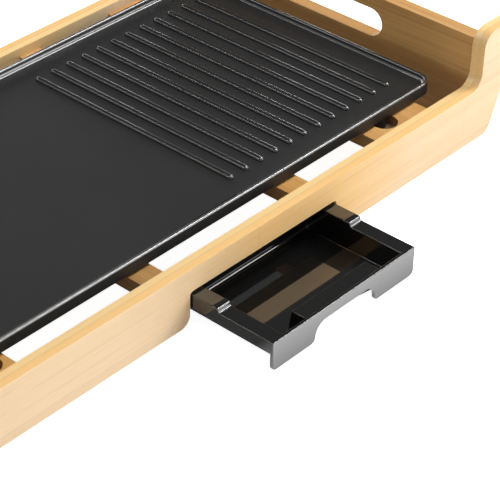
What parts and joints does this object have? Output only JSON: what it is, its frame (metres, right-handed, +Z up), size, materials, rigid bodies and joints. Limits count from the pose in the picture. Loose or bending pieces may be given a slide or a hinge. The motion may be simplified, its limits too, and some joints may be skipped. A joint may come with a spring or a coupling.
{
  "type": "electric grill",
  "caption": "Countertop electric grill: a half smooth, half ribbed plate in a wooden frame, with a drip tray that slides out and a plug-in heat control.",
  "frame": {"origin": "on the table top, under the middle of the whole object with its drip tray drawn out", "axes": "+X to the right along the front board, +Y from the front to the back, +Z up"},
  "size_m": [0.5986, 0.4568, 0.0945],
  "materials": {
    "bamboo": "oiled, fine lengthwise grain",
    "rubber": "matt black",
    "steel": "zinc plated",
    "runner_steel": "folded bright sheet",
    "coated_plate": "cast, with a dark satin non-stick coat",
    "foot_plastic": "matt black, heat resistant",
    "element_steel": "heat-darkened sheath",
    "reflector_sheet": "bright sheet",
    "ceramic": "unglazed ivory, stands for steatite",
    "tray_enamel": "glossy black",
    "control_plastic": "fine-grained black",
    "switch_plastic": "plain moulded",
    "brass": "bright",
    "lens_red": "clear red"
  },
  "bodies": {
    "frame": {"front_board": "bamboo", "back_board": "bamboo", "left_end_panel": "bamboo", "right_end_panel": "bamboo", "left_outer_slat": "bamboo", "left_inner_slat": "bamboo", "right_inner_slat": "bamboo", "right_outer_slat": "bamboo", "frame_dowels": "bamboo", "rubber_feet": "rubber", "left_tray_runner": "runner_steel", "right_tray_runner": "runner_steel", "runner_screws": "steel"},
    "plate": {"cooking_plate": "coated_plate", "plate_feet": "foot_plastic", "plate_foot_screws": "steel", "heating_element": "element_steel", "element_clamps": "steel", "clamp_screws": "steel", "heat_reflector": "reflector_sheet", "reflector_screws": "steel", "terminal_block": "ceramic", "terminal_screws": "steel", "contact_pins": "steel", "socket_shroud": "steel"},
    "tray": {"drip_tray": "tray_enamel"},
    "control": {"control_base": "control_plastic", "control_cover": "control_plastic", "control_screws": "steel", "thermostat_switch": "switch_plastic", "temperature_probe": "steel", "contact_sleeves": "brass", "indicator_lens": "lens_red", "cord_gland": "rubber"},
    "dial": {"control_dial": "control_plastic", "dial_shaft": "steel"}
  },
  "joints": [
    {"name": "tray_slide", "type": "slide", "parent": "frame", "child": "tray", "axis": [0, -1, 0], "range_m": [-0.0729, 0.018]},
    {"name": "plate_lift", "type": "slide", "parent": "frame", "child": "plate", "axis": [0, 0, 1], "range_m": [0, 0.12]},
    {"name": "control_unplug", "type": "slide", "parent": "plate", "child": "control", "axis": [0, 1, 0], "range_m": [0, 0.09]},
    {"name": "dial_turn", "type": "hinge", "parent": "control", "child": "dial", "pos_m": [-0.15443, 0.165, 0.0538], "axis": [0, 0, 1], "range_deg": [-270, 0]}
  ]
}
